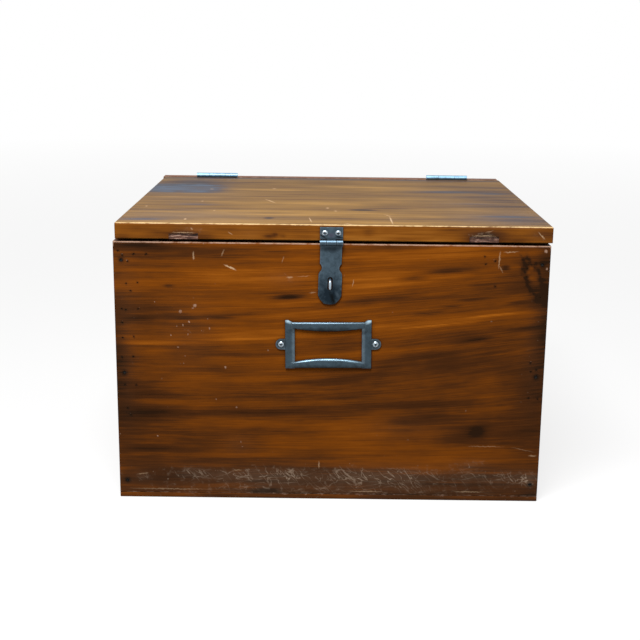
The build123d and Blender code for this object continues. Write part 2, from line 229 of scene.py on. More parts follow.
def stained_pine(name, tones, rub_tone, finish, face, nicks):
    """Stained pine under old varnish: soft brown bands and fibres along the grain, pale bare wood on the arrises,
    dusty scuffs of thin crossing scratches, and specks 1 to 1.5 mm across. The finish is its roughness, specular
    level and coat. The face is the axis that the nicks' plane faces, and its place in millimetres; a nick is given
    as (across, up, half length, half width, turn, strength)."""
    rough, specular, coat = finish
    axis, face_place = face
    material = bpy.data.materials.new(name)
    material.use_nodes = True
    tree = material.node_tree
    shader = tree.nodes["Principled BSDF"]
    place = add(tree, "VectorMath", {0: add(tree, "TexCoord", {}).outputs["Object"], 1: (1000, 1000, 1000)},
                operation="MULTIPLY")
    grain = add(tree, "Attribute", {}, attribute_name="grain").outputs["Vector"]
    figure, rub, scuffed = add(tree, "SeparateXYZ", {
        0: add(tree, "Attribute", {}, attribute_name="marks").outputs["Vector"]}).outputs
    sheen_level = add(tree, "Attribute", {}, attribute_name="sheen").outputs["Fac"]
    layers, tone = [], tone_shift
    for scale, detail, roughness, distortion, share in wood_noises:
        laid = add(tree, "Mapping", {"Vector": grain, "Scale": scale})
        layers.append(add(tree, "TexNoise", {"Vector": laid, "Scale": 1.0, "Detail": detail, "Roughness": roughness,
                                             "Distortion": distortion}))
        tone = add(tree, "Math", {0: layers[-1], 1: share, 2: tone}, operation="MULTIPLY_ADD")
    streaks, fibres = layers[1:3]
    # the dark figure is broken up by the streaks
    broken = add(tree, "Math", {0: streaks, 1: -1.2, 2: 0.05}, operation="MULTIPLY_ADD")
    tone = add(tree, "Math", {0: figure, 1: broken, 2: tone}, operation="MULTIPLY_ADD")
    ramp = add(tree, "ValToRGB", {"Fac": tone})
    ramp.color_ramp.elements.remove(ramp.color_ramp.elements[1])
    ramp.color_ramp.elements[0].color = linear(tones[0][1])
    for position, code in tones[1:]:
        ramp.color_ramp.elements.new(position).color = linear(code)

    # Painted sheen: the streaks turn grey-blue as far as the sheen attribute asks
    sheen_mask = add(tree, "Math", {0: add(tree, "Math", {0: streaks, 1: 2.6, 2: -0.6}, operation="MULTIPLY_ADD"),
                               1: sheen_level}, operation="MULTIPLY", use_clamp=True)
    sheened = add(tree, "MixRGB", {"Fac": sheen_mask, "Color1": ramp, "Color2": linear(sheen_tone)})

    # scratches are the level lines of soft noises, so that they wander and cross
    level = None
    for angle, shift in scratch_turns:
        turned = add(tree, "Mapping", {"Vector": place, "Location": (shift, shift, shift),
                                       "Rotation": [math.radians(angle) * (axis == own) for own in "xyz"]})
        stretched = add(tree, "Mapping", {"Vector": turned, "Scale": scratch_scales[axis]})
        swirl = add(tree, "TexNoise", {"Vector": stretched, "Scale": 1.0, "Detail": 1.0, "Distortion": 0.6})
        off = add(tree, "Math", {0: swirl, 1: 0.5}, operation="SUBTRACT")
        off = add(tree, "Math", {0: off}, operation="ABSOLUTE")
        level = add(tree, "Math", {0: off, 1: level}, operation="MINIMUM") if level else off
    line = add(tree, "MapRange", {"Value": level, "From Min": 0.005, "From Max": 0.02, "To Min": 1.0, "To Max": 0.0})
    patchy = add(tree, "TexNoise", {"Vector": place, "Scale": 0.16, "Detail": 2.0, "Roughness": 0.5})
    patch = add(tree, "Math", {0: scuffed, 1: 0.9, 2: patchy}, operation="MULTIPLY_ADD")
    patch = add(tree, "MapRange", {"Value": patch, "From Min": 0.85, "From Max": 1.6})
    dusty = add(tree, "Math", {0: scuffed, 1: 0.08}, operation="MULTIPLY")
    dusty = add(tree, "Math", {0: patch, 1: 0.1, 2: dusty}, operation="MULTIPLY_ADD")
    scuff = add(tree, "Math", {0: line, 1: patch, 2: dusty}, operation="MULTIPLY_ADD")

    wobble = add(tree, "TexNoise", {"Vector": place, "Scale": 0.45, "Detail": 2.0, "Roughness": 0.6})
    ragged = add(tree, "VectorMath", {0: place, 1: (1.2, 1.2, 1.2)}, operation="SUBTRACT")
    ragged = add(tree, "VectorMath", {0: wobble.outputs["Color"], 1: (2.4, 2.4, 2.4), 2: ragged},
                 operation="MULTIPLY_ADD")
    marks = scuff
    for spacing, radius, least, most, where in speck_kinds:
        # at most one speck of that radius to a cell of that spacing
        cells = add(tree, "TexVoronoi", {"Vector": ragged, "Scale": 1 / spacing})
        speck = add(tree, "MapRange", {"Value": cells.outputs["Distance"], "From Min": 0.5 * radius / spacing,
                                       "From Max": 1.4 * radius / spacing, "To Min": 1.0, "To Max": 0.0})
        chance = add(tree, "SeparateXYZ", {0: cells.outputs["Color"]}).outputs["X"]
        chosen = add(tree, "MapRange", {"Value": chance, "From Min": least, "From Max": 1.0, "To Max": most})
        speck = add(tree, "Math", {0: speck, 1: chosen}, operation="MULTIPLY")
        if where == "on scuffs":
            near = add(tree, "Math", {0: scuffed, 1: 3.0}, operation="MULTIPLY", use_clamp=True)
            speck = add(tree, "Math", {0: speck, 1: near}, operation="MULTIPLY")
        marks = add(tree, "Math", {0: marks, 1: speck}, operation="MAXIMUM")
    marks = add(tree, "Math", {0: marks, 1: 0.6}, operation="MULTIPLY", use_clamp=True)
    pale = add(tree, "MixRGB", {"Fac": marks, "Color1": sheened, "Color2": linear(dust_tone)})

    # Painted shade: the wood darkens in gaps and corners that ambient occlusion finds
    gap = add(tree, "AmbientOcclusion", {"Distance": 0.004}, samples=4)
    painted_shade = add(tree, "MapRange", {"Value": gap.outputs["AO"], "From Min": 0.35, "From Max": 0.95, "To Min": 0.75,
                                  "To Max": 0.0})
    pale = add(tree, "MixRGB", {"Fac": painted_shade, "Color1": pale, "Color2": linear(gap_shade_tone)})
    crumble = add(tree, "TexNoise", {"Vector": place, "Scale": 0.12, "Detail": 4.0, "Roughness": 0.7})
    worn = add(tree, "Math", {0: crumble, 1: 1.5, 2: rub}, operation="MULTIPLY_ADD")
    worn = add(tree, "MapRange", {"Value": worn, "From Min": 1.4, "From Max": 1.75, "To Max": 0.85})
    bare = add(tree, "MixRGB", {"Fac": worn, "Color1": pale, "Color2": linear(rub_tone)})
    nick = None
    for x, y, length, width, angle, strength in nicks:
        # a nick is a slim ragged ellipse in the plane of the face
        centre = {"y": (x, face_place, y), "z": (x, y, face_place)}[axis]
        turn = {"y": (0, -math.radians(angle), 0), "z": (0, 0, math.radians(angle))}[axis]
        size = {"y": (length, nick_depth, width), "z": (length, width, nick_depth)}[axis]
        inside = add(tree, "VectorMath", {0: add(tree, "Mapping", {"Vector": ragged, "Location": centre,
                                                                  "Rotation": turn, "Scale": size},
                                                 vector_type="TEXTURE")}, operation="LENGTH")
        inside = add(tree, "MapRange", {"Value": inside, "From Min": 0.4, "From Max": 1.0, "To Min": strength,
                                        "To Max": 0.0})
        nick = add(tree, "Math", {0: inside, 1: nick}, operation="MAXIMUM") if nick else inside
    if nick:
        bare = add(tree, "MixRGB", {"Fac": nick, "Color1": bare, "Color2": linear(nick_tone)})
        marks = add(tree, "Math", {0: nick, 1: marks}, operation="MAXIMUM")
    tree.links.new(bare.outputs[0], shader.inputs["Base Color"])

    dull = add(tree, "Math", {0: fibres, 1: 0.2, 2: rough - 0.1}, operation="MULTIPLY_ADD")
    dull = add(tree, "Math", {0: add(tree, "Math", {0: marks, 1: worn}, operation="MAXIMUM"), 1: 0.35, 2: dull},
               operation="MULTIPLY_ADD")
    tree.links.new(dull.outputs[0], shader.inputs["Roughness"])
    relief = add(tree, "Math", {0: streaks, 1: 0.6, 2: fibres}, operation="MULTIPLY_ADD")
    relief = add(tree, "Math", {0: marks, 1: -1.0, 2: relief}, operation="MULTIPLY_ADD")
    bump = add(tree, "Bump", {"Height": relief, "Strength": 0.35, "Distance": 0.0003})
    tree.links.new(bump.outputs[0], shader.inputs["Normal"])
    shader.inputs["Specular IOR Level"].default_value = specular
    shader.inputs["Specular Tint"].default_value = linear(varnish_tint)
    shader.inputs["Coat Weight"].default_value = coat
    shader.inputs["Coat Roughness"].default_value = 0.25
    return material


def dress(piece, body, slot, materials, *nodes):
    """Gives a finished piece its materials, its body and the parts that it stands for; its finish slot is not used."""
    piece.data.materials.clear()
    for material in materials:
        piece.data.materials.append(material)
    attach(piece, body)
    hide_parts(*nodes)


front_low, front_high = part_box("front_board")
front_face = front_low.y * 1000
arris_radius = 0.0008
front_cell = 0.0015
case_tones = [(0.0, "#1a100a"), (0.3, "#45250f"), (0.6, "#773e0b"), (1.0, "#a05a15")]
case_rub_tone = "#a58672"
case_finish = (0.5, 0.25, 0.0)

# The fibres climb towards the right, most of all two thirds of the way up
climb = 0.14
climb_start = -20.0
climb_ease = 60.0
climb_height = 175.0
climb_spread = 95.0

# All marks are in millimetres. Streaks follow the fibres and are (x, z, half length, half width, darkness), with
# light ones below zero. Grime, with painted shade among it, and scuffs have the same form, and bare spots are
# (x, z, radius).
front_streaks = [
    (-41, 208.5, 12, 2.0, 1.3), (-157, 218, 5, 1.6, 0.6), (-141, 186, 14, 1.5, 0.5), (-105, 187, 14, 1.5, 0.5),
    (-190, 185, 18, 4, 0.5), (78, 228.5, 15, 3, 0.7), (112, 235.5, 24, 3.5, 0.7), (138, 208, 14, 1.6, 0.6),
    (96, 193.7, 14, 1.2, 0.4), (119, 201, 8, 1.2, 0.4), (181, 205.5, 9, 1.6, 0.5), (144, 168.6, 14, 1.6, 0.5),
    (190, 179, 17, 3, 0.5), (167, 239.5, 4, 2.5, 1.0), (147, 73, 8, 4, 0.8), (147, 73, 30, 8, 0.35),
    (-180, 52, 28, 3, 0.7), (-63, 5.7, 12, 3.4, 1.6), (-175, 90, 30, 7, 0.5), (60, 100, 60, 4, 0.4),
    (-20, 120, 70, 5, 0.3), (90, 150, 40, 6, 0.3), (-165, 161, 45, 1.2, -0.7), (-95, 165.5, 38, 1.2, -0.7),
    (100, 181.5, 34, 1.0, -0.7), (157, 193, 22, 1.0, -0.7), (-120, 232, 60, 7, -0.3), (40, 220, 40, 7, -0.35),
    (-130, 252, 70, 5, 0.35), (-120, 236, 60, 4, 0.15), (120, 166, 60, 7, 0.3), (30, 206, 30, 2.0, 0.3),
    (-100, 150, 60, 3, 0.25), (-60, 91, 60, 2.5, 0.35), (90, 88, 60, 5, 0.25), (-170, 108, 34, 4, 0.4)]
# Painted shade is among the grime: the patch behind the strap's slot, and partly the broad darkening of both ends
front_grime_and_shade = [(-212, 150, 14, 50, 0.5), (-205, 85, 26, 40, 0.35), (214, 185, 14, 45, 0.8), (205, 100, 22, 60, 0.3),
               (206, 212, 12, 12, 0.4), (-150, 60, 60, 14, 0.2), (-1.2, 222, 6, 7, 1.5), (206, 4, 8, 4, 1.2),
               (-190, 258, 30, 3, 0.6), (60, 258, 40, 3, 0.5), (207, 250, 8, 14, 0.4), (195, 226, 22, 28, 0.25),
               (-230, 150, 80, 150, 0.22), (230, 150, 80, 150, 0.27), (0, 120, 190, 60, 0.16), (-60, 4, 260, 5, 0.35),
               (-165, 225, 60, 50, 0.14), (150, 150, 90, 60, 0.1), (0, 22, 260, 16, 0.4), (-175, 24, 40, 16, 0.3),
               (150, 18, 90, 14, 0.35), (-120, 240, 90, 24, 0.08), (160, 250, 60, 16, 0.15), (-110, 160, 50, 40, 0.1),
               (-2, 160, 28, 14, 0.12), (0, 4, 260, 6, 0.15)]
front_pale = [(-132, 199, 2.3), (-146, 193, 2.5), (-134, 196, 1.2), (-120, 186, 1.0), (-118, 176, 1.3),
              (-128, 185, 1.2), (-138, 182.5, 1.2), (-144, 179, 1.1),
              (-150, 178, 1.1), (-126, 174, 1.1), (-139, 170, 1.3), (-156, 169, 1.1), (-149, 157, 1.1),
              (-142, 148, 1.1), (-144, 141, 1.0), (-103, 137, 1.4), (-112, 104, 1.3), (-92, 96, 1.2), (-160, 95, 1.1),
              (-128, 101, 0.9), (-171, 202, 1.0), (-172, 197, 1.0),
              (-137, 221, 1.2), (-112, 221, 1.0), (-88, 60, 1.2), (-87, 55, 1.1), (-171, 65, 1.2), (-208, 67, 1.2),
              (205, 256, 2.0), (207, 239, 1.6)]
front_scuffs = [(-187, 22, 9, 5, 0.5), (-136, 26, 18, 7, 0.5), (-108, 24, 14, 7, 0.5), (-80, 24, 16, 7, 0.5),
                (-43, 25, 26, 9, 0.6), (25, 25, 30, 9, 0.6), (78, 25, 34, 9, 0.65), (144, 26, 20, 8, 0.5),
                (185, 25, 26, 8, 0.55), (142, 39, 18, 5, 0.5), (0, 23, 240, 16, 0.45), (-138, 172, 26, 32, 0.25),
                (-200, 200, 14, 60, 0.2), (-45, 227, 18, 7, 0.45), (-200, 120, 10, 60, 0.15), (200, 150, 12, 60, 0.2),
                (-90, 57, 14, 10, 0.3), (70, 75, 40, 12, 0.2), (200, 24, 7, 6, 0.9), (0, 8, 230, 9, 0.4)]
# The knot is (x, z, half length, half width, turn), and the nicks further down have a strength after that
front_knot = (195.0, 228.0, 20.0, 7.0, -65)
# Pulled staples left these holes, and about half of them have a pale flake torn up beside them
staple_holes = [
    (-205, 252), (-201, 248), (-190, 249), (-178, 249), (-196, 242), (-198, 220), (-187, 221), (-194, 213),
    (-203, 195), (-199, 194), (-187, 195), (-203, 181), (-203, 166), (-192, 167), (-204, 146), (-193, 147),
    (-202, 118), (-191, 118), (-200, 94), (-197, 87), (147, 250), (148, 243), (157, 246), (158, 221), (188, 239),
    (188, 231), (202, 211), (196, 145), (202, 138), (197, 136), (203, 132), (196, 109), (205, 108)]
staple_hole_radius = 0.0007
staple_hole_tip = 0.0003
staple_hole_depth = 0.0015
# The painted shade around a hole is (half length, half width, darkness)
staple_shadow = (0.9, 0.9, 1.0)
staple_shadows = [(x, z, *staple_shadow) for x, z in staple_holes]
chips = random.Random(11)
front_pale += [(x + chips.uniform(-2, 2), z + chips.uniform(0.9, 1.8), chips.uniform(0.5, 0.9))
               for x, z in staple_holes if chips.random() < 0.6]
front_nicks = [(-97.5, 237, 7.5, 1.0, -23, 0.9), (-104.5, 251, 4.5, 0.7, 66, 0.3), (-132.6, 248, 5, 1.0, 90, 0.55),
               (161, 247, 10, 1.0, 87, 0.45), (163, 238, 5, 0.6, -60, 0.3), (172, 255, 8, 0.7, 3, 0.45),
               (-10, 36.5, 5, 0.8, 90, 0.4), (-92, 30, 6, 0.6, 2, 0.35), (156, 58, 21, 0.5, 0, 0.3),
               (193, 55, 14, 0.5, -12, 0.2), (203, 48.5, 5, 0.7, 0, 0.4), (-187, 25, 7, 0.7, 8, 0.35),
               (-160, 9, 46, 0.7, 0, 0.3), (37, 8.6, 19, 0.7, 0, 0.4), (141, 9.5, 17, 0.7, 0, 0.4),
               (21, 223, 4.5, 0.7, 80, 0.4), (-40, 228, 4, 1.1, 5, 0.4),
               (-27, 229, 8, 0.6, 3, 0.25), (-18, 213, 4, 0.9, 8, 0.3), (-47, 245, 4, 0.5, 70, 0.3)]
nail_margin = 0.018
nail_inset = 0.0078
nail_bore = 0.0017
nail_sink = 0.0012
nail_shadow = (2.6, 2.6, 0.9)
# Heights in millimetres: arrises are worn most above the first and below the second, and from the third down the
# wood is painted darker towards the foot, as shade where the light falls off and as dirt
top_arris = 255
foot_arris = 10
foot_reach = 170


def knot_figure(u, v, knot):
    """The dark broken ring of a knot with its lighter core, given as (u, v, half length, half width, turn)."""
    away = Vector((u - knot[0], v - knot[1]))
    lean = Vector((math.cos(math.radians(knot[4])), math.sin(math.radians(knot[4]))))
    ring = math.hypot(away.dot(lean) / knot[2], away.cross(lean) / knot[3])
    ring += 0.4 * noise.noise(Vector((u / 5, v / 5, 0)))
    mottle = 0.7 + 0.8 * noise.noise(Vector((u / 3, v / 3, 5)))
    return mottle * math.exp(-((ring - 1) / 0.26) ** 2) - 0.3 * math.exp(-(ring / 0.6) ** 2)


def front_fibre(place):
    """The front's fibres run level on the left and climb to the right."""
    ramp = climb_ease * math.log1p(math.exp((place.x - climb_start) / climb_ease))
    rise = climb * ramp * math.exp(-((place.z - climb_height) / climb_spread) ** 2)
    return place.x, place.z - rise, place.y


def front_marks(place):
    """The front's figure, rubbed wood, scuffs and haze: plain behind its face, painted darker towards its foot as
    shade and dirt, and rubbed along its arrises, most of all at the top."""
    if place.y > front_face + mark_depth:
        return 0.2, 0.0, 0.0, 0.0
    along, across = front_fibre(place)[:2]
    figure = spots(along, across, front_streaks_laid) + spots(place.x, place.z, front_grime_and_shade)
    figure += 0.05 + 0.2 * (1 - min(1, place.z / foot_reach))
    figure += knot_figure(place.x, place.z, front_knot)
    rub = max([0.0] + [1.15 * math.exp(-((place.x - x) ** 2 + (place.z - z) ** 2) / (r * 1.2) ** 2)
                       for x, z, r in front_pale if abs(place.x - x) < 5 and abs(place.z - z) < 5])
    if on_arris(place, front_low, front_high):
        rub = 0.95 if place.z > top_arris else 0.75 if place.z < foot_arris else 0.2
    figure += spots(place.x, place.z, staple_shadows)
    return figure, rub, spots(place.x, place.z, front_scuffs), 0.0


front_streaks_laid = [(*front_fibre(Vector((x, 0, z)))[:2], length, width, dark)
                      for x, z, length, width, dark in front_streaks]
front = saw_board("front_plank", front_low, front_high, (front_cell, 1, front_cell), (0, 1, 0))
ease_edges(front, arris_radius, lambda middle: middle.y < front_low.y + arris_radius)
nail_places = [Vector((side * (front_high.x - nail_inset), front_low.y, z)) for side in (-1, 1)
               for z in (nail_margin, front_high.z / 2, front_high.z - nail_margin)]
bore(front, nail_places, (0, -1, 0), nail_bore, nail_bore, nail_sink)
front_grime_and_shade += [(place.x * 1000, place.z * 1000, *nail_shadow) for place in nail_places]
bore(front, [Vector((x / 1000, front_low.y, z / 1000)) for x, z in staple_holes], (0, -1, 0),
     staple_hole_radius, staple_hole_tip, staple_hole_depth)
lay_grain(front, front_fibre, front_marks)
front_wood = stained_pine("stained_pine_front", case_tones, case_rub_tone, case_finish, ("y", front_face),
                          front_nicks)
dress(front, "case", "wood_front", [front_wood], "front_board")


# Side boards, back board and bottom panel: the same stained pine, and a thin plywood panel, nailed together. The
# nails of the back are set below its face, and those of the panel only just below its underside.

board_cell = 0.004
depth_cell = 0.0026
board_streaks = 16
board_knots = 2
board_scuffs = 9
nail_head_radius = 0.0016
panel_nail_sink = 0.0005
# Four nails go up into each board: how far the outer two stand from its middle, along x and along y, and where
# all four stand as a share of that
panel_nail_reach = (0.150, 0.131)
panel_nail_rows = (-1, -1 / 3, 1 / 3, 1)


def board_fibre(axes):
    """Straight fibres along the first of three axes of a board, the second across them and the third its depth."""
    return lambda place: (place[axes[0]], place[axes[1]] + 0.3 * place[axes[2]], place[axes[2]])


def board_marks(low, high, axes, seed):
    """A plain board's figure, rubbed wood and scuffs: streaks and knots drawn at random, and on the side that shows
    ends and a foot that are darker, and scuffs along the foot."""
    draw = random.Random(seed)
    first, last = low * 1000, high * 1000
    streaks = [(draw.uniform(first[axes[0]], last[axes[0]]), draw.uniform(first[axes[1]], last[axes[1]]),
                draw.uniform(10, 45), draw.uniform(1.5, 5), draw.uniform(0.3, 0.8)) for i in range(board_streaks)]
    knots = [(draw.uniform(first[axes[0]] + 40, last[axes[0]] - 40), draw.uniform(90, last[axes[1]] - 30),
              draw.uniform(5, 9), draw.uniform(3, 5), draw.uniform(-20, 20)) for i in range(board_knots)]
    scuffs = [(draw.uniform(first[axes[0]], last[axes[0]]), draw.uniform(14, 30), draw.uniform(10, 40),
               draw.uniform(4, 9), draw.uniform(0.5, 0.9)) for i in range(board_scuffs)]
    outer = first[axes[2]] if abs(first[axes[2]]) > abs(last[axes[2]]) else last[axes[2]]

    def marks(place):
        u, v, depth = (place[i] for i in axes)
        figure = 0.15 + spots(u, v, streaks)
        for knot in knots:
            if abs(u - knot[0]) < 25 and abs(v - knot[1]) < 15:
                figure += knot_figure(u, v, knot)
        scuffed = 0.0
        if abs(depth - outer) < mark_depth:
            end = min(u - first[axes[0]], last[axes[0]] - u)
            figure += 0.35 * math.exp(-(end / 18) ** 2) + 0.3 * math.exp(-(v / 60) ** 2)
            scuffed = spots(u, v, scuffs) + 0.3 * math.exp(-((v - 20) / 14) ** 2)
        return figure, 0.75 * on_arris(place, low, high), scuffed, 0.0
    return marks


along_x, along_y, flat = (0, 2, 1), (1, 2, 0), (0, 1, 2)
nails_low, nails_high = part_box("back_nails")
back_nail_places = [Vector((side * (nails_high.x - nail_head_radius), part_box("back_board")[1].y, z)) for side in (-1, 1)
                    for z in (nails_low.z + nail_head_radius, (nails_low.z + nails_high.z) / 2,
                              nails_high.z - nail_head_radius)]
nails_low, nails_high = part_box("bottom_nails")
panel_nail_places = [Vector((row * panel_nail_reach[0], side * (nails_high.y - nail_head_radius), 0))
                     for row in panel_nail_rows for side in (-1, 1)]
panel_nail_places += [Vector((side * (nails_high.x - nail_head_radius), row * panel_nail_reach[1], 0))
                      for row in panel_nail_rows for side in (-1, 1)]
case_boards = [("left_side_board", "left_plank", along_y, "x", 5), ("right_side_board", "right_plank", along_y, "x", 6),
               ("back_board", "back_plank", along_x, "y", 7), ("bottom_panel", "bottom_sheet", flat, "z", 8)]
for node, name, axes, facing, seed in case_boards:
    low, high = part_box(node)
    steps = [board_cell, board_cell, board_cell]
    steps[axes[2]] = depth_cell
    board = saw_board(name, low, high, steps, None)
    ease_edges(board, arris_radius, lambda middle: True)
    if node == "back_board":
        bore(board, back_nail_places, (0, 1, 0), nail_bore, nail_bore, nail_sink)
    if node == "bottom_panel":
        bore(board, panel_nail_places, (0, 0, -1), nail_bore, nail_bore, panel_nail_sink)
        lay_grain(board, board_fibre(axes), lambda place: (0.5, 0.5 * on_arris(place, low, high), 0.3, 0.0))
    else:
        lay_grain(board, board_fibre(axes), board_marks(low, high, axes, seed))
    wood = stained_pine("stained_pine_" + name, case_tones, case_rub_tone, case_finish, (facing, 0), [])
    dress(board, "case", "plywood" if node == "bottom_panel" else "wood_case", [wood], node)


# Lid: one wide pine board, stained a golden brown under more varnish, with a cream line of bare wood along its
# front arris. Two mortises of earlier hinges are cut in its lower front edge, and a blue-grey stain is on its top:
# a dark stain under a painted sheen, as on its dark streaks.

lid_low, lid_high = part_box("lid_board")
lid_cells = (0.0021, 0.003, 0.002)
lid_arris = 0.0012
lid_tones = [(0.0, "#1c120d"), (0.3, "#492f17"), (0.6, "#74521f"), (1.0, "#a27938")]
lid_end_tones = [(0.0, "#20120a"), (0.3, "#3c220f"), (0.6, "#553212"), (1.0, "#6e4418")]
lid_edge_tones = [(0.0, "#23140c"), (0.3, "#532e12"), (0.6, "#7c4815"), (1.0, "#9e6424")]
lid_rub_tone = "#d8b886"
lid_finish = (0.62, 0.06, 0.1)
lid_edge_finish = (0.5, 0.2, 0.0)
lid_end_finish = (0.6, 0.2, 0.0)
# The marks have the same forms as on the front, with (x, y) on the top and (x, z) on the front edge
lid_streaks = [(-142, -64, 20, 6, 0.6), (-184, -169, 20, 6, 0.6), (131, 56, 34, 8, 0.6), (187, 43, 16, 6, 0.6),
               (150, -40, 26, 6, 0.5), (179, -129, 22, 5, 0.6), (32, -93, 11, 4, 1.6), (62, -81, 26, 3, 0.6),
               (-62, -154, 4, 5, 1.0), (-165, 130, 34, 26, 0.8), (0, 165, 220, 10, 0.5), (180, 60, 60, 90, 0.35),
               (190, -60, 40, 90, 0.3), (190, -150, 50, 30, 0.35)]
lid_strokes = 30
stroke = random.Random(9)
lid_streaks += [(stroke.uniform(-200, 200), stroke.uniform(-180, 170), stroke.uniform(25, 80), stroke.uniform(3, 8),
                 stroke.uniform(-0.45, 0.5)) for i in range(lid_strokes)]
# Painted sheen: grey-blue haze over the dark streaks and the stain, in the form of the streaks
lid_sheens = [(-142, -64, 22, 6, 0.5), (-184, -169, 20, 6, 0.5), (131, 56, 34, 8, 0.5),
             (187, 43, 16, 6, 0.5), (150, -40, 26, 6, 0.4), (179, -129, 22, 5, 0.5), (0, 165, 220, 12, 0.4),
             (160, 20, 80, 130, 0.12), (180, -140, 60, 50, 0.28), (-150, -150, 80, 45, 0.28),
             (-170, 0, 70, 70, 0.15), (-160, 140, 50, 30, 0.3)]
# The front edge's marks keep this near to the lid's front face and this far from its top, in millimetres, and the
# arris is cream this near to its top
edge_reach = 1.3
crest_reach = 0.7
stain_middle = Vector((-172.0, 66.0))
stain_half = Vector((42.0, 36.0))
# On the front edge, the two dark spots over the mortises are painted shade in them
lid_edge_dark = [(-60, 267.5, 6, 2.0, 1.0), (-54, 269, 3, 1.8, 0.8), (-47, 268, 3, 1.5, 0.6), (35, 272, 6, 5, 0.3),
                 (-142, 267.5, 20, 5.5, 0.9), (145, 267.5, 20, 5.5, 1.0), (-200, 266, 8, 2, 0.5),
                 (-185, 274, 12, 1.5, 0.35), (-168, 270, 8, 3, 0.2), (-120, 266, 14, 2, 0.5), (-100, 273, 20, 1.5, 0.4),
                 (-25, 267, 14, 2, 0.4), (70, 266, 20, 2, 0.4), (115, 275, 14, 1.5, 0.4), (180, 266, 12, 2.5, 0.6),
                 (205, 272, 14, 9, 0.5), (-190, 272, 35, 14, 0.3), (90, 272, 60, 12, -0.25), (150, 272, 20, 9, 0.3)]
lid_edge_scuffs = [(-134, 273, 14, 4, 0.6), (145, 272, 16, 4, 0.6), (-80, 270, 14, 5, 0.3), (198, 272, 10, 5, 0.4)]
lid_scuffs = [(-185, -120, 24, 30, 0.4), (-130, -170, 30, 16, 0.4), (-50, -150, 40, 24, 0.25), (60, -150, 14, 30, 0.4),
              (150, -170, 60, 14, 0.35), (-60, 60, 60, 40, 0.2), (120, -60, 60, 60, 0.15)]
lid_nicks = [(-66, -34, 19, 1.5, -66, 0.7), (-21, -163, 18, 0.9, -84, 0.7), (58, -160, 30, 1.1, 91, 0.85),
             (56, -128, 8, 1.0, 120, 0.7), (16, -185, 7, 1.5, -55, 0.7), (-138, 59, 3, 3, 0, 0.6),
             (-193, -82, 1.5, 4, 0, 0.6), (-139, -41, 1.5, 4, 0, 0.6), (-143, -166, 2, 4, 0, 0.9),
             (-120, -108, 1.5, 4, 0, 0.5), (-66, 69, 3, 4, 0, 0.5), (-4, -82, 2, 5, 0, 0.6), (4, -102, 2, 5, 0, 0.5)]
lid_edge_nicks = [(200, 271, 6, 0.7, -45, 0.6), (-97, 270, 3, 0.6, -35, 0.4), (-142, 270.3, 13, 0.6, 0, 0.5),
                  (145, 270.3, 13, 0.6, 0, 0.6), (-134, 274, 2, 0.7, -40, 0.5), (150, 274.5, 5, 0.5, 15, 0.3)]
mortise_length = 0.028
mortise_height = 0.0058
mortise_depth = 0.0011
mortise_cuts = 9
tear_depth = 0.0003
tear_height = 0.0006
torn_tones = [(0.36, "#1e110c"), (0.46, "#472a1b"), (0.56, "#755040"), (0.66, "#bb9c8a")]


def lid_marks(place):
    """The lid's figure, rubbed wood, scuffs and haze, which is painted sheen: plain below its face, its front edge with
    marks of its own, and the blue-grey stain on its top, whose rim is ragged, dark under painted sheen."""
    if place.z < lid_high.z * 1000 - mark_depth and place.y > lid_low.y * 1000 + mark_depth:
        return 0.2, 0.0, 0.0, 0.0
    front_edge = place.y < lid_low.y * 1000 + edge_reach
    rub = 0.0
    if on_arris(place, lid_low, lid_high):
        rub = 0.35
        if front_edge:
            rub = 1.0 if place.z > lid_high.z * 1000 - crest_reach else 0.3
    if front_edge and place.z < lid_high.z * 1000 - edge_reach:
        return spots(place.x, place.z, lid_edge_dark), rub, spots(place.x, place.z, lid_edge_scuffs), 0.0
    off = Vector((place.x, place.y)) - stain_middle
    ragged = noise.fractal(Vector((place.x / 18, place.y / 7, 0)), 1.0, 2.0, 3)
    streaky = noise.noise(Vector((place.x / 60, place.y / 6, 9)))
    reach = (off.x / stain_half.x) ** 4 + (off.y / stain_half.y) ** 4 + 1.2 * ragged
    tone_patch = (1.0 + 1.3 * streaky) / (1 + max(0, reach) ** 2)
    # The stain darkens the figure, and the same mask lays painted sheen over it
    figure = tone_patch + spots(place.x, place.y, lid_streaks)
    return figure, rub, spots(place.x, place.y, lid_scuffs), tone_patch + spots(place.x, place.y, lid_sheens)


mortises = [sum(corner.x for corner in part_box(side + "_hinge_pin")) / 2 for side in ("left", "right")]
lid = saw_board("lid_plank", lid_low, lid_high, lid_cells, (0, 0, -1))
ease_edges(lid, lid_arris, lambda middle: middle.y < lid_low.y + 0.001 or (
    middle.z > lid_high.z - 0.001 and middle.y < lid_high.y - 0.001))
torn = random.Random(4)
for middle in mortises:
    bpy.ops.object.select_all(action="DESELECT")
    bpy.ops.mesh.primitive_cube_add(size=1, location=(middle, lid_low.y, lid_low.z),
                                    scale=(mortise_length, 2 * mortise_depth, 2 * mortise_height))
    chisel = bpy.context.object
    bpy.ops.object.transform_apply(location=True, rotation=True, scale=True)
    pick(chisel, "EDGE", lambda e: abs(e.verts[0].co.x - e.verts[1].co.x) > 0.01)
    bpy.ops.mesh.subdivide(number_cuts=mortise_cuts)
    done()
    for vertex in chisel.data.vertices:
        if vertex.co.z > lid_low.z:
            vertex.co += Vector((0, torn.uniform(-tear_depth, tear_depth), torn.uniform(-tear_height, tear_height)))
    cut_away(lid, chisel)
lay_grain(lid, lambda place: (place.x, place.y + 0.8 * place.z, place.z), lid_marks)
lid_wood = stained_pine("stained_pine_lid_top", lid_tones, lid_rub_tone, lid_finish, ("z", lid_high.z * 1000),
                        lid_nicks)
lid_edge_wood = stained_pine("stained_pine_lid_edge", lid_edge_tones, lid_rub_tone, lid_edge_finish,
                             ("y", lid_low.y * 1000), lid_edge_nicks)
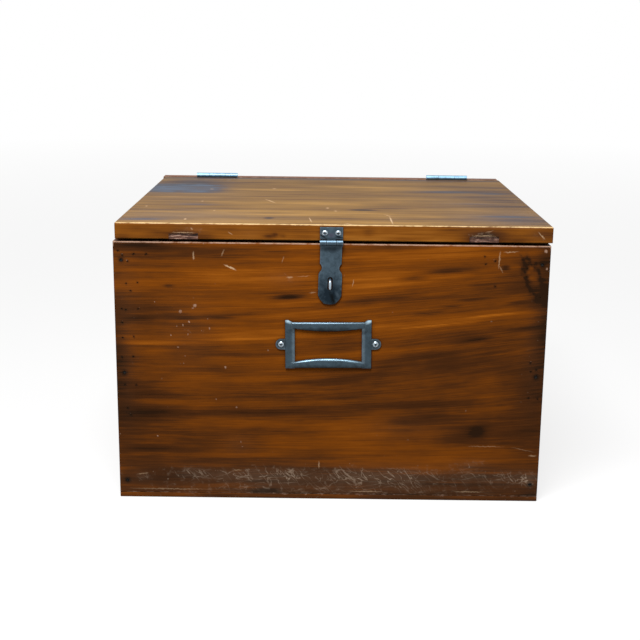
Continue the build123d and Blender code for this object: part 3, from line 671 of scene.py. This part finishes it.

# The mortises are chopped across the fibres, which stay torn and pale along X, 0.7 mm thick, and dark between
torn_wood = bpy.data.materials.new("torn_pine")
torn_wood.use_nodes = True
tree = torn_wood.node_tree
place = add(tree, "VectorMath", {0: add(tree, "TexCoord", {}).outputs["Object"], 1: (1000, 1000, 1000)},
            operation="MULTIPLY")
fibres = add(tree, "TexNoise", {"Vector": add(tree, "Mapping", {"Vector": place, "Scale": (0.07, 1.4, 1.4)}),
                                "Scale": 1.0, "Detail": 3.0, "Roughness": 0.6, "Distortion": 0.4})
ramp = add(tree, "ValToRGB", {"Fac": fibres})
ramp.color_ramp.elements.remove(ramp.color_ramp.elements[1])
ramp.color_ramp.elements[0].position = torn_tones[0][0]
ramp.color_ramp.elements[0].color = linear(torn_tones[0][1])
for position, code in torn_tones[1:]:
    ramp.color_ramp.elements.new(position).color = linear(code)
tree.links.new(ramp.outputs[0], tree.nodes["Principled BSDF"].inputs["Base Color"])
tree.nodes["Principled BSDF"].inputs["Roughness"].default_value = 0.9
bump = add(tree, "Bump", {"Height": fibres, "Strength": 0.6, "Distance": 0.0004})
tree.links.new(bump.outputs[0], tree.nodes["Principled BSDF"].inputs["Normal"])

lid_end_wood = stained_pine("stained_pine_lid_end_grain", lid_end_tones, case_rub_tone, lid_end_finish, ("x", 0), [])
dress(lid, "lid", "wood_lid", [lid_wood, lid_edge_wood, torn_wood, lid_end_wood], "lid_board")
top_wood, edge_wood, mortise_wood, end_wood = range(4)
for face in lid.data.polygons:
    face.material_index = end_wood if abs(face.normal.x) > 0.8 else edge_wood if abs(face.normal.z) < 0.6 else top_wood
    in_mortise = any(abs(face.center.x - middle) < mortise_length / 2 + 0.0002 for middle in mortises)
    if in_mortise and face.center.z < lid_low.z + 1.2 * mortise_height:
        if lid_low.y + 0.0002 < face.center.y < lid_low.y + 0.002:
            face.material_index = mortise_wood


# Hasp: a leaf, a pin and a slotted strap, cut from sheet steel and rolled round the pin, zinc plated and gone dull.
# The leaf is screwed to the front edge of the lid. The strap swings on the pin and drops over the staple.

# Patches of stain, painted shade and painted highlight lie on the plane of the front's fittings, and reach this far
# before and behind it
patch_plane = -194
patch_reach = 100
# Painted shade, black in the corners and joints of the steel
steel_shade_tone = "#0f1011"


def plated_steel(name, colour, worn_tone, finish, patches):
    """Zinc plated sheet steel gone dull: blue-grey clouds and grit 0.7 mm across, a paler line worn along its
    edges, and black painted shade in its corners and joints. The finish is its roughness, metallic share and the
    strength of that painted shade. A patch is a soft spot of another tone, a stain, painted shade or painted
    highlight, as (x, z, half length, half height, turn, tone, strength)."""
    material = bpy.data.materials.new(name)
    material.use_nodes = True
    tree = material.node_tree
    shader = tree.nodes["Principled BSDF"]
    roughness, metallic, shade_strength = finish
    place = add(tree, "VectorMath", {0: add(tree, "TexCoord", {}).outputs["Object"], 1: (1000, 1000, 1000)},
                operation="MULTIPLY")
    cloud = add(tree, "TexNoise", {"Vector": place, "Scale": 0.22, "Detail": 4.0, "Roughness": 0.65})
    grit = add(tree, "TexNoise", {"Vector": place, "Scale": 1.4, "Detail": 2.0, "Roughness": 0.6})
    shade = add(tree, "Math", {0: cloud, 1: 1.3, 2: 0.1}, operation="MULTIPLY_ADD")
    shade = add(tree, "Math", {0: grit, 1: 0.5, 2: shade}, operation="MULTIPLY_ADD")
    tint = add(tree, "MixRGB", {"Fac": 1.0, "Color1": linear(colour), "Color2": shade}, blend_type="MULTIPLY")
    corner = add(tree, "AmbientOcclusion", {"Distance": 0.0015}, samples=6, inside=True, only_local=True)
    edge = add(tree, "MapRange", {"Value": corner.outputs["AO"], "From Min": 0.3, "From Max": 0.85, "To Min": 0.4,
                                  "To Max": 0.0})
    worn = add(tree, "Math", {0: cloud, 1: edge}, operation="MULTIPLY")
    tint = add(tree, "MixRGB", {"Fac": worn, "Color1": tint, "Color2": linear(worn_tone)})
    # Each patch is a stain, painted shade or painted highlight, as the caller lists it
    for x, z, length, height, turn, tone, strength in patches:
        away = add(tree, "VectorMath", {0: add(tree, "Mapping", {
            "Vector": place, "Location": (x, patch_plane, z), "Rotation": (0, -math.radians(turn), 0),
            "Scale": (length, patch_reach, height)}, vector_type="TEXTURE")}, operation="LENGTH")
        away = add(tree, "Math", {0: cloud, 1: 0.8, 2: away}, operation="MULTIPLY_ADD")
        tone_patch = add(tree, "MapRange", {"Value": away, "From Min": 0.6, "From Max": 1.4, "To Min": strength,
                                       "To Max": 0.0})
        tint = add(tree, "MixRGB", {"Fac": tone_patch, "Color1": tint, "Color2": linear(tone)})
    # Painted shade: black in the corners and joints that ambient occlusion finds
    crevice = add(tree, "AmbientOcclusion", {"Distance": 0.003}, samples=6)
    painted_shade = add(tree, "MapRange", {"Value": crevice.outputs["AO"], "From Min": 0.3, "From Max": 0.85, "To Min": shade_strength,
                                  "To Max": 0.0})
    tint = add(tree, "MixRGB", {"Fac": painted_shade, "Color1": tint, "Color2": linear(steel_shade_tone)})
    tree.links.new(tint.outputs[0], shader.inputs["Base Color"])
    shader.inputs["Metallic"].default_value = metallic
    rough = add(tree, "Math", {0: cloud, 1: 0.3, 2: roughness - 0.15}, operation="MULTIPLY_ADD")
    rough = add(tree, "Math", {0: painted_shade, 1: 0.3, 2: rough}, operation="MULTIPLY_ADD")
    tree.links.new(rough.outputs[0], shader.inputs["Roughness"])
    bump = add(tree, "Bump", {"Height": grit, "Strength": 0.12, "Distance": 0.0001})
    tree.links.new(bump.outputs[0], shader.inputs["Normal"])
    return material


def soften(node, name, width):
    """A copy of a fitting with its loose faces joined, its cut edges rounded over and its curves smooth."""
    sharp = math.radians(40)
    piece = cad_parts[node].copy()
    piece.data = piece.data.copy()
    for key in list(piece.keys()):
        del piece[key]
    piece.parent = None
    piece.name = name
    bpy.context.scene.collection.objects.link(piece)
    pick(piece, "VERT", lambda v: True)
    bpy.ops.mesh.remove_doubles(threshold=0.000002)
    bpy.ops.mesh.dissolve_limited(angle_limit=math.radians(1))
    done()
    bpy.ops.object.shade_smooth_by_angle(angle=sharp)
    bevel = piece.modifiers.new("round", "BEVEL")
    bevel.width = width
    bevel.segments = 2
    bevel.limit_method = "ANGLE"
    bevel.angle_limit = sharp
    bevel.harden_normals = True
    bpy.ops.object.modifier_apply(modifier="round")
    return piece


hasp_round = 0.0002
dull_worn_tone = "#8ea0ac"
# The lobe of the strap is the darkest, with a black mark below its slot, the staple's painted shadow with a rub mark,
# and its leaf has a scored corner. The strap has painted shade below the barrel, and the barrel a painted highlight
# along its top
hasp_patches = [(-1.5, 209, 28, 26, 0, "#101c25", 0.92), (1.6, 207, 11, 3, -73, "#0a0e10", 1.0),
               (6, 211.5, 5, 2.2, -62, "#4c5a64", 0.5), (-0.4, 264.3, 22, 1.4, 0, "#5c7486", 0.8),
               (-9, 268.6, 5, 1.4, -32, "#0c1114", 0.95),
               (7.5, 267.6, 6, 1.2, -5, "#0c1114", 0.85), (-0.5, 269.5, 5, 3, 0, "#54485c", 0.4),
               (-1, 256.5, 18, 4, 0, "#181f25", 0.8)]
hasp_zinc = plated_steel("dull_zinc_hasp", "#394954", dull_worn_tone, (0.46, 0.9, 1.0), hasp_patches)
for node, name, body in (("hasp_leaf", "hasp_plate", "lid"), ("hasp_pin", "hasp_rod", "lid"),
                         ("hasp_strap", "hasp_tongue", "hasp_strap")):
    dress(soften(node, name, hasp_round), body, "hasp_steel", [hasp_zinc], node)


# Staple: one piece of bright zinc plated wire, bent to a loop with a pointed leg at each end. Both legs are driven
# into the front board, so that the loop stands out through the slot of the strap.

staple_round = 0.0001
bright_worn_tone = "#b0bec8"
wire_zinc = plated_steel("bright_wire", "#a8b8c4", bright_worn_tone, (0.3, 1.0, 0.95), [])
dress(soften("staple", "staple_loop", staple_round), "case", "staple_wire", [wire_zinc], "staple")


# Label holder: a frame with bowed bars that holds a card, pressed from zinc plated sheet steel and gone dull. It is
# screwed to the front board through a tab at each side. Its bars are painted black below as shade, and painted
# highlights lie along their tops and on its ears.

label_round = 0.0003
# Painted shade on the bars' lower halves, painted highlights on the ears and bar tops, dark rings round the tab screws
label_patches = [(-2.15, 175, 52, 5, 0.6, "#0c1216", 0.95), (-2.15, 137.6, 60, 4.6, 0.6, "#10171b", 0.9),
                (-41.5, 185, 5.5, 2.8, -30, "#c4e2f2", 0.85), (37.5, 185.6, 5.5, 2.8, 30, "#c4e2f2", 0.85),
                (-48.25, 161.4, 6.5, 6.5, 0, "#0c1216", 0.8), (43.95, 162.3, 6.5, 6.5, 0, "#0c1216", 0.8),
                (-2.15, 147.0, 20, 2.2, 0, "#6e8999", 0.85), (-22, 145.8, 14, 2.1, 8, "#6e8999", 0.8),
                (18, 146.0, 14, 2.1, -8, "#6e8999", 0.8), (-2.15, 183.4, 50, 1.5, 0.6, "#4c606e", 0.5)]
label_zinc = plated_steel("dull_zinc_label", "#35454f", dull_worn_tone, (0.34, 0.7, 0.95), label_patches)
dress(soften("label_holder", "label_frame", label_round), "case", "label_steel", [label_zinc], "label_holder")


# Hinges: two butt hinges of bluish zinc plated sheet steel, each two leaves rolled round a pin. They stand upright
# in the seam at the back, one leaf screwed to the back board and one to the lid, so only their barrels show.

hinge_round = 0.00015
hinge_zinc = plated_steel("blue_zinc_hinge", "#86abc4", dull_worn_tone, (0.5, 1.0, 0.35), [])
for side_name in ("left", "right"):
    for part, body in (("case_leaf", "case"), ("lid_leaf", "lid"), ("pin", "case")):
        node = side_name + "_hinge_" + part
        dress(soften(node, node + "_plated", hinge_round), body, "hinge_steel", [hinge_zinc], node)


# Screws and nails: bright zinc plated screws with cross recesses, pan-headed on the hasp and the label holder and
# countersunk in the hinges, and dark iron wire nails in the boards. They keep the shapes of the solids.

# Black dirt and painted shade fill the cross recesses
recesses = [(x, z, 1.7, 1.7, 0, "#0c1013", 0.95) for x, z in
            ((-6.75, 271.5), (5.95, 271.5), (-48.25, 161.4), (43.95, 162.3))]
bright_zinc = plated_steel("bright_zinc", "#9eabb4", bright_worn_tone, (0.35, 1.0, 0.95), recesses)
nail_iron = plated_steel("dark_iron_nail", "#1a1511", "#33281e", (0.8, 0.2, 0.9), [])
for metal, nodes in ((bright_zinc, ("hinge_case_screws", "hinge_lid_screws", "hasp_screws", "label_screws")),
                     (nail_iron, ("front_nails", "back_nails", "bottom_nails"))):
    for node in nodes:
        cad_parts[node].data.materials.clear()
        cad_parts[node].data.materials.append(metal)


# Floor and light: a white floor that runs into a white background, and one large soft lamp above and in front.
# Where they light the box and aren't looked at, the floor is grey and the background dim.

floor_size = 60
fade_start, fade_end = 0.6, 4.0
floor_grey = (0.3, 0.3, 0.3, 1)
background_light = 0.4


def looked_at(tree):
    """One for rays that look at a surface, straight, mirrored or through glass, and zero for those that light it."""
    rays = add(tree, "LightPath", {})
    seen = add(tree, "Math", {0: rays.outputs["Is Camera Ray"], 1: rays.outputs["Is Glossy Ray"]}, operation="MAXIMUM")
    return add(tree, "Math", {0: seen, 1: rays.outputs["Is Transmission Ray"]}, operation="MAXIMUM")


bpy.ops.object.select_all(action="DESELECT")
bpy.ops.mesh.primitive_plane_add(size=floor_size, location=(0, 0, 0))
floor = bpy.context.object
floor.name = "floor"
floor_paper = bpy.data.materials.new("white_floor")
floor_paper.use_nodes = True
tree = floor_paper.node_tree
tree.nodes.remove(tree.nodes["Principled BSDF"])
far = add(tree, "VectorMath", {0: add(tree, "TexCoord", {}).outputs["Object"]}, operation="LENGTH")
glow = add(tree, "MapRange", {"Value": far.outputs["Value"], "From Min": fade_start, "From Max": fade_end,
                              "To Min": 0.8, "To Max": 1.0})
shade = add(tree, "MapRange", {"Value": far.outputs["Value"], "From Min": fade_start, "From Max": fade_end,
                               "To Min": 0.2, "To Max": 0.0})
seen_floor = add(tree, "AddShader", {0: add(tree, "BsdfDiffuse", {"Color": shade}),
                                     1: add(tree, "Emission", {"Color": (1, 1, 1, 1), "Strength": glow})})
lit = add(tree, "BsdfDiffuse", {"Color": floor_grey})
mixed = add(tree, "MixShader", {0: looked_at(tree), 1: lit, 2: seen_floor})
tree.links.new(mixed.outputs[0], tree.nodes["Material Output"].inputs["Surface"])
floor.data.materials.append(floor_paper)

world = bpy.data.worlds.new("studio")
bpy.context.scene.world = world
world.use_nodes = True
tree = world.node_tree
strength = add(tree, "MapRange", {"Value": looked_at(tree), "To Min": background_light, "To Max": 1.0})
tree.nodes["Background"].inputs["Color"].default_value = (1, 1, 1, 1)
tree.links.new(strength.outputs[0], tree.nodes["Background"].inputs["Strength"])

lamp = bpy.data.objects.new("soft_lamp", bpy.data.lights.new("soft_lamp", "AREA"))
bpy.context.scene.collection.objects.link(lamp)
lamp.data.shape = "RECTANGLE"
lamp.data.size = 0.5
lamp.data.size_y = 0.35
lamp.data.energy = 19.0
lamp.location = (-0.15, -0.75, 1.2)
lamp.rotation_euler = (Vector((0, -0.1, 0.2)) - lamp.location).to_track_quat("-Z", "Y").to_euler()
